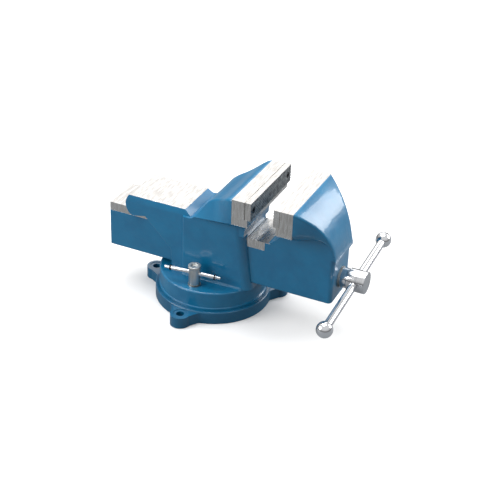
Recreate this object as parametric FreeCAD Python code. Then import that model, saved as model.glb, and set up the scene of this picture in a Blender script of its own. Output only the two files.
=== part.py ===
import FreeCAD, Part
import math
import os

# Bench vise on a swivel base, in millimetres.
# The origin is on the swivel axis where the base meets the bench. +X runs along the slide
# towards the handle, +Z is up, and +Y completes the right-handed frame.

V = FreeCAD.Vector

# ---- Jaws
jaw_width = 150.0
jaw_top = 224.4
jaw_gap = 35.4
fixed_plate_face = 95.1
plate_thickness = 10.8
plate_height = 29.2
ledge_setback = 5.4
plate_end_inset = 0.3
seat_depth = 21.0
seat_height = 41.9
plate_screw_inset = 11.5
plate_screw_radius = 3.9
plate_head_radius = 5.2
plate_head_depth = 3.8
plate_head_recess = 0.5
plate_screw_length = 18.0
hex_socket_radius = 2.5
hex_socket_depth = 2.4

# ---- Slide, and the casting of the moving jaw around it
slide_width = 72.0
slide_top = 141.0
slide_bottom = 62.0
slide_rear = -170.0
slide_front = 217.0
slide_side_wall = 11.0
slide_top_wall = 14.0
slide_front_wall = 14.0
slide_corner_round = 7.0
slide_edge_round = 2.5
neck_start = 107.5
neck_root = 160.5
hood_arc_centre_x = 108.0
hood_arc_centre_z = 125.4
nose_top = 135.0
nose_overhang = 3.0
cheek_end_half = 36.6
hood_stations = 6
cheek_round = 9.0
hood_crease = 4.0

# ---- Body casting
wall_thickness = 10.7
wall_round = 3.5
foot_round = 5.0
slide_clearance = 0.3
housing_rear = -34.0
housing_shoulder = 162.0
pillar_front_top = 72.0
pillar_front_foot = 86.0
pillar_round = 15.0
jaw_underside = 147.0
anvil_top = 165.6
anvil_rear = -132.0
anvil_front = -33.0
anvil_top_width = 79.2
anvil_skirt_width = 85.0
anvil_bevel_height = 10.6
anvil_edge_round = 1.2
gusset_round = 2.0
gusset_corner_x = -104.0
gusset_foot_x = -57.0
valley_height = 155.5
hood_root = -22.0
hood_root_half = 45.0
hood_root_inset = 3.0
# Stations of the fixed hood: distance behind the seat, inset from the jaw's end, drop from its top
fixed_hood_stations = ((0.0, 0.0, 0.0), (18.3, 10.5, 9.5), (38.3, 25.0, 21.5), (51.3, 29.0, 30.0),
                       (62.3, 30.0, 43.5), (72.0, 30.0, 57.5), (85.3, 30.5, 68.9))
flange_radius = 87.0
flange_top = 52.0
flange_lip = 1.2
flange_lip_height = 4.5
flange_round = 3.0

# ---- Swivel base
base_radius = 94.0
base_height = 20.5
base_gap = 0.3
base_round = 1.8
ear_circle = 106.0
ear_radius = 16.0
ear_height = 18.5
ear_root_width = 62.0
ear_fillet = 8.0
ear_hole_radius = 6.5
ear_boss_radius = 11.5
ear_boss_depth = 0.8
ear_angles = (-93.0, 27.0, 179.0)
spigot_radius = 30.0
spigot_height = 11.5
spigot_fit = 0.06
slot_circle = 67.0
slot_neck_width = 12.6
slot_head_width = 22.0
slot_floor = 5.0
slot_lip = 8.0
slot_entry_angle = 62.0
slot_entry_radius = 11.5

# ---- Swivel clamps
clamp_x = -1.0
stud_radius = 5.9
stud_head_size = 20.0
stud_head_height = 7.0
stud_hole_clearance = 0.5
thread_fit = 0.05
washer_radius = 10.4
washer_thickness = 1.6
lock_nut_radius = 9.2
lock_nut_height = 33.0
lock_cap_radius = 10.2
lock_cap_height = 4.5
lock_cap_recess_radius = 5.0
lock_cap_recess_depth = 2.5
lock_bar_radius = 3.5
lock_bar_length = 94.0
lock_bar_height = 73.4
lock_bar_turn = 5.0
lock_bar_shift = -3.0
lock_bar_nub_radius = 2.6
lock_bar_nub_length = 7.5
lock_ring_radius = 4.6
lock_ring_width = 2.0

# ---- Screw, nut and handle
screw_height = 94.5
screw_radius = 12.0
screw_rear = -100.0
journal_radius = 13.0
journal_fit = 0.05
nut_rear = 22.0
nut_length = 42.0
nut_width = 38.0
nut_top = 116.0
nut_fit = 0.05
nut_bolt_radius = 6.0
nut_bolt_depth = 10.0
nut_bolt_head_radius = 9.0
nut_bolt_head_height = 8.0
nut_bolt_pocket_depth = 12.0
nut_bolt_pocket_clearance = 1.0
thrust_washer_thickness = 2.8
thrust_washer_radius = 17.0
shank_radius = 16.2
shank_length = 11.0
head_radius = 17.8
head_length = 29.0
head_chamfer = 2.0
collar_radius = 19.0
collar_length = 12.0
collar_gap = 0.3
pin_radius = 3.0
pin_fit = 0.02
pin_sink = 0.3
handle_radius = 6.5
handle_fit = 0.1
handle_tilt = 5.4
knob_radius = 12.8
knob_flat = 11.0
knob_near_reach = 129.6
knob_far_reach = 118.4
handle_end_depth = 9.0

# ---- Values that follow from them
fixed_seat_face = fixed_plate_face - plate_thickness
fixed_ledge = fixed_plate_face - ledge_setback
moving_plate_face = fixed_plate_face + jaw_gap
moving_seat_face = moving_plate_face + plate_thickness
moving_ledge = moving_plate_face + ledge_setback
jaw_half = jaw_width / 2.0
seat_bottom = jaw_top - seat_height
plate_bottom = jaw_top - plate_height
slide_half = slide_width / 2.0
channel_half = slide_half + slide_clearance
channel_top = slide_top + slide_clearance
channel_floor = slide_bottom - slide_clearance
wall_half = channel_half + wall_thickness
fixed_seat_back = fixed_seat_face - seat_depth
moving_seat_back = moving_seat_face + seat_depth
flange_bottom = base_height + base_gap
collar_front = slide_front - slide_front_wall - collar_gap
washer_rear = slide_front + collar_gap
shank_rear = washer_rear + thrust_washer_thickness
head_rear = shank_rear + shank_length
head_front = head_rear + head_length
handle_x = head_rear + 0.42 * head_length
overlap = 1.0
reach = 400.0


# ---- Small helpers
def block(x0, x1, y0, y1, z0, z1):
    return Part.makeBox(x1 - x0, y1 - y0, z1 - z0, V(x0, y0, z0))


def post(radius, z0, z1, x=0.0, y=0.0):
    return Part.makeCylinder(radius, z1 - z0, V(x, y, z0), V(0, 0, 1))


def rod(radius, x0, x1, y=0.0, z=0.0):
    return Part.makeCylinder(radius, x1 - x0, V(x0, y, z), V(1, 0, 0))


def outline(steps, place):
    """A closed face through steps: a pair is a corner, and two pairs are an arc's middle and end."""
    edges = []
    here = steps[0]
    for step in list(steps[1:]) + [steps[0]]:
        if isinstance(step[0], tuple):
            middle, end = step
            edges.append(Part.Arc(place(*here), place(*middle), place(*end)).toShape())
            here = end
        elif step != here:
            edges.append(Part.makeLine(place(*here), place(*step)))
            here = step
    return Part.Face(Part.Wire(edges))


def side_prism(steps, half_width):
    """Outline in X and Z, carried across Y from -half_width to +half_width."""
    face = outline(steps, lambda x, z: V(x, -half_width, z))
    return face.extrude(V(0, 2.0 * half_width, 0))


def cross_prism(half_steps, x0, x1):
    """Half outline in Y and Z, mirrored and carried along X."""
    mirrored = [(-y, z) for y, z in reversed(half_steps)]
    face = outline(list(half_steps) + mirrored, lambda y, z: V(x0, y, z))
    return face.extrude(V(x1 - x0, 0, 0))


def plan_prism(half_steps, z0, z1):
    """Half outline in X and Y, mirrored and carried up Z."""
    mirrored = [(x, -y) for x, y in reversed(half_steps)]
    face = outline(list(half_steps) + mirrored, lambda x, y: V(x, y, z0))
    return face.extrude(V(0, 0, z1 - z0))


def turned_z(steps, x=0.0, y=0.0):
    """Outline in radius and Z, turned about an upright axis."""
    face = outline(steps, lambda r, z: V(x + r, y, z))
    return face.revolve(V(x, y, 0), V(0, 0, 1), 360)


def turned_x(steps):
    """Outline in X and radius, turned about the screw's axis."""
    face = outline(steps, lambda x, r: V(x, 0, screw_height + r))
    return face.revolve(V(0, 0, screw_height), V(1, 0, 0), 360)


def fused(shapes):
    return shapes[0].multiFuse(shapes[1:]).removeSplitter()


def soften(shape, radius, wanted):
    """Fillets the edges that wanted(edge) picks, or leaves them sharp where no sound fillet fits."""
    edges = [edge for edge in shape.Edges if wanted(edge)]
    if not edges:
        return shape
    try:
        rounded = shape.makeFillet(radius, edges)
    except Part.OCCError:
        return shape
    return rounded if rounded.isValid() else shape


def runs_along(edge, axis):
    """True for an edge within about 12 degrees of an axis."""
    ends = [vertex.Point for vertex in edge.Vertexes]
    if len(ends) < 2:
        return False
    line = ends[1].sub(ends[0])
    return line.Length > 0 and abs(line.normalize().dot(axis)) > 0.978


def mirrored_y(shape):
    return shape.mirror(V(0, 0, 0), V(0, 1, 0))


# ---- Swivel base
def ear(angle):
    lug = plan_prism([(0, ear_root_width / 2), (base_radius * 0.86, ear_root_width / 2),
                      (ear_circle, ear_radius), (ear_circle, 0)], 0, ear_height)
    lug = lug.fuse(post(ear_radius, 0, ear_height, ear_circle))
    lug = lug.removeSplitter()
    lug.rotate(V(0, 0, 0), V(0, 0, 1), angle)
    return lug


def ear_hole(angle):
    hole = post(ear_hole_radius, -overlap, ear_height + overlap, ear_circle)
    boss = post(ear_boss_radius, ear_height - ear_boss_depth, ear_height + overlap, ear_circle)
    cut = hole.fuse(boss)
    cut.rotate(V(0, 0, 0), V(0, 0, 1), angle)
    return cut


def ring_slot():
    neck = slot_neck_width / 2
    head = slot_head_width / 2
    lip = base_height - slot_lip
    steps = [(slot_circle - head, slot_floor), (slot_circle + head, slot_floor),
             (slot_circle + head, lip), (slot_circle + neck, lip),
             (slot_circle + neck, base_height + overlap),
             (slot_circle - neck, base_height + overlap),
             (slot_circle - neck, lip), (slot_circle - head, lip)]
    return turned_z(steps)


def slot_entry():
    angle = math.radians(slot_entry_angle)
    x = slot_circle * math.cos(angle)
    y = slot_circle * math.sin(angle)
    return post(slot_entry_radius, -overlap, slot_floor + overlap, x, y)


def is_ear_corner(edge):
    """True for the upright corners where an ear meets the disc."""
    box = edge.BoundBox
    radius = math.hypot(box.Center.x, box.Center.y)
    return runs_along(edge, V(0, 0, 1)) and abs(radius - base_radius) < 4.0


def make_swivel_base():
    disc = post(base_radius, 0, base_height)
    disc = soften(disc, base_round, lambda e: abs(e.BoundBox.ZMin - base_height) < 0.01)
    spigot = post(spigot_radius, 0, base_height + spigot_height)
    body = fused([disc, spigot] + [ear(angle) for angle in ear_angles])
    body = soften(body, ear_fillet, is_ear_corner)
    body = body.cut(ring_slot())
    body = body.cut(slot_entry())
    for angle in ear_angles:
        body = body.cut(ear_hole(angle))
    return body


# ---- Jaw seats, which both castings carry
def jaw_screw_places():
    offset = jaw_half - plate_screw_inset
    height = plate_bottom + plate_height / 2
    return [(-offset, height), (offset, height)]


def screw_holes(face, inward):
    holes = []
    for y, z in jaw_screw_places():
        start = min(face, face + inward * plate_screw_length)
        holes.append(rod(plate_screw_radius + thread_fit, start, start + plate_screw_length, y, z))
    return holes


def make_plate(rear, face):
    """Jaw plate from its rear plane to its gripping face, with sunk holes."""
    low, high = min(rear, face), max(rear, face)
    half = jaw_half - plate_end_inset
    plate = block(low, high, -half, half, plate_bottom, jaw_top)
    inward = 1.0 if rear > face else -1.0
    sunk = plate_head_depth + plate_head_recess
    for y, z in jaw_screw_places():
        plate = plate.cut(rod(plate_screw_radius + stud_hole_clearance, low, high, y, z))
        start = min(face, face + inward * sunk)
        plate = plate.cut(rod(plate_head_radius + thread_fit, start, start + sunk, y, z))
    return plate


def make_plate_screws(face, inward):
    """Two socket-head screws, sunk below the gripping face."""
    screws = []
    head_top = face + inward * plate_head_recess
    for y, z in jaw_screw_places():
        head_end = head_top + inward * plate_head_depth
        tip = face + inward * (plate_thickness + plate_screw_length - 2.0)
        head = rod(plate_head_radius, min(head_top, head_end), max(head_top, head_end), y, z)
        shank = rod(plate_screw_radius, min(head_top, tip), max(head_top, tip), y, z)
        socket_end = head_top + inward * hex_socket_depth
        socket = hex_socket(min(head_top, socket_end), max(head_top, socket_end), y, z)
        screws.append(head.fuse(shank).cut(socket).removeSplitter())
    return Part.makeCompound(screws)


def hex_socket(x0, x1, y, z):
    corners = []
    for k in range(6):
        turn = math.radians(60.0 * k)
        corners.append((y + hex_socket_radius * math.cos(turn), z + hex_socket_radius * math.sin(turn)))
    face = outline(corners, lambda a, b: V(x0, a, b))
    return face.extrude(V(x1 - x0, 0, 0))


def jaw_cross(root_half, root_height):
    """Half cross-section of a jaw: full width above, sloping in to its root below."""
    return [(0, channel_floor), (root_half, channel_floor), (root_half, root_height),
            (jaw_half, seat_bottom), (jaw_half, jaw_top), (0, jaw_top)]


# ---- Body casting
def fixed_seat():
    """The block behind the fixed plate, with its ledge and the hollow curve under it."""
    profile = [(fixed_ledge, seat_bottom), (fixed_ledge, plate_bottom), (fixed_seat_face, plate_bottom),
               (fixed_seat_face, jaw_top), (fixed_seat_back, jaw_top), (fixed_seat_back, jaw_underside),
               (pillar_front_top, jaw_underside),
               ((pillar_front_top + 4.0, jaw_underside + 19.0), (fixed_ledge, seat_bottom))]
    seat = side_prism(profile, jaw_half)
    return seat.common(cross_prism(jaw_cross(wall_half, housing_shoulder), fixed_seat_back, fixed_ledge))


def fixed_hood_section(station):
    """Closed cross-section of the hood that falls from the fixed seat to the anvil."""
    behind, inset, drop = station
    x = fixed_seat_back - behind
    share = behind / (fixed_seat_back - hood_root)
    low_half = jaw_half + (hood_root_half - jaw_half) * share
    low = seat_bottom + (housing_shoulder - seat_bottom) * min(1.0, share * 1.2)
    slope = (seat_bottom - housing_shoulder) / (jaw_half - wall_half)
    top_half = jaw_half - inset
    top = jaw_top - drop
    root_half = hood_root_half - hood_root_inset
    low = min(low, top - 4.0)
    root = low - slope * (low_half - root_half)
    right = [V(x, root_half, channel_top), V(x, root_half, root), V(x, low_half, low), V(x, top_half, top)]
    left = [V(x, -point.y, point.z) for point in reversed(right)]
    return Part.makePolygon(right + left + [right[0]])


def fixed_hood():
    hood = Part.makeLoft([fixed_hood_section(station) for station in fixed_hood_stations], True, False)
    top_half = jaw_half - 1.0
    return soften(hood, hood_crease, lambda e: e.BoundBox.ZMax > jaw_top - 0.1
                  and e.BoundBox.XMin < hood_root + 1.0
                  and max(abs(e.BoundBox.YMin), abs(e.BoundBox.YMax)) > top_half)


def housing():
    profile = [(housing_rear, flange_top - overlap), (housing_rear, valley_height),
               (hood_root, valley_height), (-5.0, housing_shoulder), (60.0, housing_shoulder + 8.0),
               (pillar_front_top, housing_shoulder + 8.0), (pillar_front_top, jaw_underside),
               (pillar_front_foot - 3.0, 66.0), (pillar_front_foot, flange_top - overlap)]
    walls = side_prism(profile, wall_half)
    walls = soften(walls, pillar_round, lambda e: e.BoundBox.XMin > pillar_front_top - 1.0
                   and runs_along(e, V(0, 0, 1)))
    return soften(walls, wall_round, lambda e: e.BoundBox.XMax < housing_rear + 0.1
                  and runs_along(e, V(0, 0, 1)))


def anvil():
    profile = [(anvil_rear, anvil_top), ((-137.5, 148.0), (-134.0, 138.0)),
               ((-129.0, 132.5), (-122.0, 131.0)), (gusset_corner_x, 135.0), (gusset_foot_x, 88.0),
               (gusset_foot_x + 2.0, flange_top - overlap), (housing_rear + overlap, flange_top - overlap),
               (housing_rear + overlap, valley_height), (hood_root + overlap, valley_height),
               (anvil_front, anvil_top)]
    shape = side_prism(profile, anvil_skirt_width / 2)
    top_half = anvil_top_width / 2
    skirt_half = anvil_skirt_width / 2
    cross = [(0, 0), (skirt_half, 0), (skirt_half, anvil_top - anvil_bevel_height),
             (top_half, anvil_top), (0, anvil_top)]
    shape = shape.common(cross_prism(cross, -reach, reach))
    shape = soften(shape, anvil_edge_round, lambda e: e.BoundBox.ZMin > anvil_top - 0.1)
    return soften(shape, gusset_round, lambda e: e.BoundBox.YLength < 0.1
                  and e.BoundBox.XMin > gusset_corner_x - 0.1 and e.BoundBox.XMax < gusset_foot_x + 3.0
                  and e.BoundBox.ZMin > flange_top - overlap - 0.1)


def flange():
    top = flange_top
    lip = flange_bottom + flange_lip_height
    disc = turned_z([(0, flange_bottom), (flange_radius + flange_lip, flange_bottom),
                     (flange_radius + flange_lip, lip - 1.0), (flange_radius, lip),
                     (flange_radius, top), (0, top)])
    return soften(disc, flange_round, lambda e: abs(e.BoundBox.ZMin - top) < 0.01)


def foot_pad():
    """Raised pad under the walls, which carries them into the flange."""
    return block(housing_rear + overlap, pillar_front_foot - pillar_round, -wall_half, wall_half,
                 flange_top - overlap, channel_floor + overlap)


def clamp_hole(y):
    return post(stud_radius + stud_hole_clearance, flange_bottom - overlap, flange_top + overlap, clamp_x, y)


def nut_bolt_x():
    return nut_rear + nut_length / 2


def nut_bolt_holes():
    x = nut_bolt_x()
    pocket_radius = nut_bolt_head_radius + nut_bolt_pocket_clearance
    hole = post(nut_bolt_radius + stud_hole_clearance, flange_bottom - overlap, channel_floor + overlap, x)
    pocket = post(pocket_radius, flange_bottom - overlap, flange_bottom + nut_bolt_pocket_depth, x)
    return hole.fuse(pocket)


def is_foot_edge(edge):
    """True where a side wall stands on the flange."""
    box = edge.BoundBox
    on_flange = abs(box.ZMin - flange_top) < 0.01 and abs(box.ZMax - flange_top) < 0.01
    return on_flange and runs_along(edge, V(1, 0, 0)) and box.XLength > 60.0


def make_body_casting():
    body = fused([flange(), foot_pad(), housing(), anvil(), fixed_seat(), fixed_hood()])
    channel = block(-reach, reach, -channel_half, channel_half, channel_floor, channel_top)
    body = soften(body, foot_round, is_foot_edge)
    body = body.cut(channel)
    body = body.cut(post(spigot_radius + spigot_fit, flange_bottom - overlap,
                         base_height + spigot_height + base_gap))
    body = body.cut(nut_bolt_holes())
    for y in (-slot_circle, slot_circle):
        body = body.cut(clamp_hole(y))
    for hole in screw_holes(fixed_seat_face, -1.0):
        body = body.cut(hole)
    return body.removeSplitter()


# ---- Main nut
def make_main_nut():
    front = nut_rear + nut_length
    nut = block(nut_rear, front, -nut_width / 2, nut_width / 2, channel_floor, nut_top)
    nut = soften(nut, 5.0, lambda e: runs_along(e, V(1, 0, 0)) and e.BoundBox.ZMin > nut_top - 1.0)
    nut = nut.cut(rod(screw_radius + nut_fit, nut_rear, front, 0, screw_height))
    bore = post(nut_bolt_radius, channel_floor, channel_floor + nut_bolt_depth, nut_bolt_x())
    return nut.cut(bore)


def make_main_nut_bolt():
    x = nut_bolt_x()
    head_top = flange_bottom + nut_bolt_pocket_depth
    shank = post(nut_bolt_radius, head_top - overlap, channel_floor + nut_bolt_depth, x)
    head = post(nut_bolt_head_radius, head_top - nut_bolt_head_height, head_top, x)
    return shank.fuse(head).removeSplitter()


# ---- Swivel clamps, on the -Y side
def make_clamp_bolt():
    y = -slot_circle
    head_top = base_height - slot_lip - base_gap
    half = stud_head_size / 2
    head = block(clamp_x - half, clamp_x + half, y - half, y + half, head_top - stud_head_height, head_top)
    head = soften(head, 2.0, lambda e: runs_along(e, V(0, 0, 1)))
    stud_top = lock_bar_height - lock_bar_radius - 2.0
    return head.fuse(post(stud_radius, head_top - overlap, stud_top, clamp_x, y)).removeSplitter()


def make_lock_washer():
    y = -slot_circle
    top = flange_top + washer_thickness
    ring = post(washer_radius, flange_top, top, clamp_x, y)
    return ring.cut(post(stud_radius + stud_hole_clearance, flange_top, top, clamp_x, y))


def lock_turned(shape):
    shape.rotate(V(clamp_x, -slot_circle, 0), V(0, 0, 1), lock_bar_turn)
    return shape


def make_lock_nut():
    y = -slot_circle
    bottom = flange_top + washer_thickness + base_gap
    top = bottom + lock_nut_height
    cap = top - lock_cap_height
    nut = turned_z([(0, bottom), (lock_nut_radius - 1.0, bottom), (lock_nut_radius, bottom + 1.0),
                    (lock_nut_radius, cap), (lock_cap_radius, cap + 1.0), (lock_cap_radius, top - 1.0),
                    (lock_cap_radius - 1.0, top), (0, top)], clamp_x, y)
    nut = nut.cut(post(stud_radius + thread_fit, bottom, lock_bar_height - lock_bar_radius - 1.0, clamp_x, y))
    nut = nut.cut(post(lock_cap_recess_radius, top - lock_cap_recess_depth, top, clamp_x, y))
    hole = rod(lock_bar_radius + thread_fit, clamp_x - 20.0, clamp_x + 20.0, y, lock_bar_height)
    return nut.cut(lock_turned(hole))


def lock_bar_groove(sign):
    return sign * (lock_bar_length / 2 - lock_bar_nub_length - lock_ring_width)


def make_lock_bar():
    y = -slot_circle
    centre = clamp_x + lock_bar_shift
    half = lock_bar_length / 2
    body_half = half - lock_bar_nub_length
    bar = rod(lock_bar_radius, centre - body_half, centre + body_half, y, lock_bar_height)
    nubs = rod(lock_bar_nub_radius, centre - half, centre + half, y, lock_bar_height)
    nubs = soften(nubs, 1.2, lambda e: True)
    return lock_turned(bar.fuse(nubs).removeSplitter())


def make_lock_rings():
    y = -slot_circle
    centre = clamp_x + lock_bar_shift
    rings = []
    for sign in (-1.0, 1.0):
        x = centre + lock_bar_groove(sign)
        ring = rod(lock_ring_radius, x - lock_ring_width / 2, x + lock_ring_width / 2, y, lock_bar_height)
        ring = ring.cut(rod(lock_bar_radius, x - lock_ring_width, x + lock_ring_width, y, lock_bar_height))
        rings.append(lock_turned(ring))
    return Part.makeCompound(rings)


# ---- Moving jaw casting
def hood_radius():
    return math.hypot(moving_seat_back - hood_arc_centre_x, jaw_top - hood_arc_centre_z)


def slide_bar():
    bar = cross_prism([(0, slide_bottom), (slide_half, slide_bottom), (slide_half, slide_top),
                       (0, slide_top)], slide_rear, slide_front)
    bar = soften(bar, slide_corner_round, lambda e: runs_along(e, V(0, 0, 1))
                 and e.BoundBox.XMin > slide_front - 1.0)
    bar = soften(bar, slide_edge_round, lambda e: e.BoundBox.ZMax < slide_bottom + 0.01)
    inner_half = slide_half - slide_side_wall
    inside = block(slide_rear - overlap, slide_front - slide_front_wall, -inner_half, inner_half,
                   slide_bottom - overlap, slide_top - slide_top_wall)
    return bar, inside


def moving_front():
    """The neck's hollow curve, the ledge under the plate, and the face behind the plate."""
    return [((neck_start + 18.0, slide_top + 14.0), (moving_ledge, seat_bottom)),
            (moving_ledge, plate_bottom), (moving_seat_face, plate_bottom), (moving_seat_face, jaw_top)]


def moving_shoulder():
    """Seat and neck at full width, from the jaw face to the back of the seat."""
    profile = [(neck_start, slide_top)] + moving_front() + [(moving_seat_back, jaw_top),
                                                            (moving_seat_back, slide_top)]
    shape = side_prism(profile, jaw_half)
    return shape.common(cross_prism(jaw_cross(slide_half, neck_root), neck_start, moving_seat_back))


def hood_section(turn):
    """Closed cross-section of the moving hood where its top arc stands at an angle above level."""
    x = hood_arc_centre_x + hood_radius() * math.cos(turn)
    top = hood_arc_centre_z + hood_radius() * math.sin(turn)
    share = min(1.0, (x - moving_seat_back) / (slide_front - moving_seat_back))
    half = jaw_half + (cheek_end_half - jaw_half) * share
    edge = nose_top + (seat_bottom - nose_top) * math.sqrt(1.0 - 0.97 * share ** 3)
    edge = min(edge, top - 4.0)
    slope = (seat_bottom - neck_root) / (jaw_half - slide_half)
    inward = min(cheek_round, 0.8 * (half - slide_half))
    upward = min(cheek_round, 0.5 * (top - edge))
    crease = min(hood_crease, 0.4 * (top - edge))
    root = edge - slope * (half - slide_half)
    low = min(slide_top - overlap, root - 0.5)
    right = [V(x, slide_half, low), V(x, slide_half, root), V(x, half - inward, edge - slope * inward),
             V(x, half - 0.2 * inward, edge + 0.15 * upward), V(x, half, edge + upward),
             V(x, half, top - crease), V(x, half - 0.3 * crease, top - 0.3 * crease),
             V(x, half - crease, top)]
    left = [V(x, -point.y, point.z) for point in reversed(right)]
    return Part.makePolygon(right + left + [right[0]])


def moving_hood():
    """Hood that falls in one arc from the moving seat to the nose."""
    start = math.acos((moving_seat_back - hood_arc_centre_x) / hood_radius())
    end = math.acos((slide_front + nose_overhang - hood_arc_centre_x) / hood_radius())
    turns = [start + (end - start) * k / hood_stations for k in range(hood_stations + 1)]
    return Part.makeLoft([hood_section(turn) for turn in turns], True, False)


def make_moving_jaw_casting():
    bar, inside = slide_bar()
    body = fused([bar, moving_shoulder(), moving_hood()])
    body = body.cut(inside)
    body = body.cut(rod(journal_radius + journal_fit, slide_front - slide_front_wall - overlap,
                        slide_front + nose_overhang + overlap, 0, screw_height))
    for hole in screw_holes(moving_seat_face, 1.0):
        body = body.cut(hole)
    return body.removeSplitter()


# ---- Screw and its thrust parts
def make_lead_screw():
    chamfer = head_chamfer
    steps = [(screw_rear, 0), (screw_rear, screw_radius - 2.0), (screw_rear + 2.0, screw_radius),
             (collar_front - collar_length, screw_radius), (collar_front - collar_length, journal_radius),
             (shank_rear, journal_radius), (shank_rear, shank_radius), (head_rear, shank_radius),
             (head_rear, head_radius - chamfer), (head_rear + chamfer, head_radius),
             (head_front - chamfer, head_radius), (head_front, head_radius - chamfer), (head_front, 0)]
    screw = turned_x(steps)
    screw = screw.cut(handle_rod(-2.0 * head_radius, 2.0 * head_radius, handle_radius + handle_fit))
    return screw.cut(cross_pin(pin_radius, 2.0 * collar_radius))


def make_thrust_washer():
    ring = rod(thrust_washer_radius, washer_rear, shank_rear, 0, screw_height)
    return ring.cut(rod(journal_radius, washer_rear, shank_rear, 0, screw_height))


def pin_x():
    return collar_front - collar_length / 2


def make_spindle_collar():
    ring = rod(collar_radius, collar_front - collar_length, collar_front, 0, screw_height)
    ring = ring.cut(rod(journal_radius, collar_front - collar_length, collar_front, 0, screw_height))
    return ring.cut(cross_pin(pin_radius, 2.0 * collar_radius))


def make_spindle_pin():
    return cross_pin(pin_radius - pin_fit, 2.0 * (collar_radius - pin_sink))


# ---- Handle
def handle_direction():
    tilt = math.radians(handle_tilt)
    return V(0, math.cos(tilt), math.sin(tilt))


def handle_point(reach_along):
    return V(handle_x, 0, screw_height) + handle_direction() * reach_along


def cross_pin(radius, length):
    """Pin across the collar and the screw, along Y."""
    return Part.makeCylinder(radius, length, V(pin_x(), -length / 2, screw_height), V(0, 1, 0))


def handle_rod(start, end, radius):
    return Part.makeCylinder(radius, end - start, handle_point(start), handle_direction())


def make_handle_bar():
    past_centre = handle_end_depth - knob_flat
    return handle_rod(-knob_near_reach - past_centre, knob_far_reach + past_centre, handle_radius)


def make_knob(centre, sign):
    """Ball with a flat towards the rod, bored for the rod's end."""
    ball = Part.makeSphere(knob_radius, handle_point(centre))
    flat_at = centre - sign * knob_flat
    past_flat = flat_at - sign * knob_radius
    ball = ball.cut(handle_rod(min(flat_at, past_flat), max(flat_at, past_flat), knob_radius * 1.5))
    rod_end = centre + sign * (handle_end_depth - knob_flat)
    bore = handle_rod(min(flat_at - sign, rod_end), max(flat_at - sign, rod_end), handle_radius)
    return ball.cut(bore)


# ---- Export
def make_all():
    left = {"clamp_bolt": make_clamp_bolt(), "lock_washer": make_lock_washer(), "lock_nut": make_lock_nut(),
            "lock_bar": make_lock_bar(), "lock_bar_rings": make_lock_rings()}
    nodes = {
        "swivel_base": make_swivel_base(),
        "body_casting": make_body_casting(),
        "fixed_jaw_plate": make_plate(fixed_seat_face, fixed_plate_face),
        "fixed_jaw_screws": make_plate_screws(fixed_plate_face, -1.0),
        "main_nut": make_main_nut(),
        "main_nut_bolt": make_main_nut_bolt(),
        "moving_jaw_casting": make_moving_jaw_casting(),
        "moving_jaw_plate": make_plate(moving_seat_face, moving_plate_face),
        "moving_jaw_screws": make_plate_screws(moving_plate_face, 1.0),
        "lead_screw": make_lead_screw(),
        "thrust_washer": make_thrust_washer(),
        "spindle_collar": make_spindle_collar(),
        "spindle_pin": make_spindle_pin(),
        "handle_bar": make_handle_bar(),
        "handle_knob_near": make_knob(-knob_near_reach, -1.0),
        "handle_knob_far": make_knob(knob_far_reach, 1.0),
    }
    for name, shape in left.items():
        nodes[name + "_left"] = shape
        nodes[name + "_right"] = mirrored_y(shape)
    return nodes


def main():
    os.makedirs("parts", exist_ok=True)
    for name, shape in make_all().items():
        shape.exportStep("parts/" + name + ".step")
        print(name, len(shape.Solids), shape.isValid(), round(shape.Volume / 1000.0, 1))


main()
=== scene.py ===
"""Bench vise on a swivel base: the visible pieces, their finishes and the studio they stand in.

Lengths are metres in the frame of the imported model. +X runs along the slide towards the
handle, +Z is up, and the origin is on the swivel axis at the bench.
"""

import logging
import math
from contextlib import contextmanager
from dataclasses import dataclass, field
from enum import Enum
from typing import Any, Callable, ClassVar, Iterator, Sequence

import bmesh
import bpy
from mathutils import Matrix, Vector


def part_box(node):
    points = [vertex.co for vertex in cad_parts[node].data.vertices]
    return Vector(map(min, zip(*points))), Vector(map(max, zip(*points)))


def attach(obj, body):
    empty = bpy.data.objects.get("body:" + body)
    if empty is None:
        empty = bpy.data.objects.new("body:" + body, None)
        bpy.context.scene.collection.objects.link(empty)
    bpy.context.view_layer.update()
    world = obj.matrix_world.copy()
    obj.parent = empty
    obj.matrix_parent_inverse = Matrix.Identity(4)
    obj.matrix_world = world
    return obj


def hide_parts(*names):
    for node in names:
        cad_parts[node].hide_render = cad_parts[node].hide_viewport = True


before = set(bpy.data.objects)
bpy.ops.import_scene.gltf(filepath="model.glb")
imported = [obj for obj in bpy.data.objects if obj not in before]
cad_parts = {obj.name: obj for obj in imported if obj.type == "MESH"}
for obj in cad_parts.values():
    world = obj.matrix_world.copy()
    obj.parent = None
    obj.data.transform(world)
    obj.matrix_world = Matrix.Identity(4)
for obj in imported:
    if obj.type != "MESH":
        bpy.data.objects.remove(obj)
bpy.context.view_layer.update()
LOG = logging.getLogger("bench_vise")
MM = 0.001
ZONE_EDGE = 0.15 * MM
COAT_RELIEF = 0.35 * MM
FLOOR_DROP = 0.3 * MM
DRILL_SIDES = 40
ALONG_SLIDE = Vector((1.0, 0.0, 0.0))
UPWARD = Vector((0.0, 0.0, 1.0))


# ---------------------------------------------------------------- modelling helpers
class Part(Enum):
    """What a selection picks out of a mesh."""

    VERTS = "VERT"
    EDGES = "EDGE"
    FACES = "FACE"


@dataclass(frozen=True)
class Station:
    """One ring of a turned piece.

    Args:
        along: Distance along the turning axis.
        radius: Radius of the ring.
    """

    along: float
    radius: float


def take(piece: bpy.types.Object) -> None:
    """Selects one piece alone and makes it the active one.

    Args:
        piece: The piece to select.
    """
    bpy.ops.object.select_all(action="DESELECT")
    piece.select_set(True)
    bpy.context.view_layer.objects.active = piece


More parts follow.
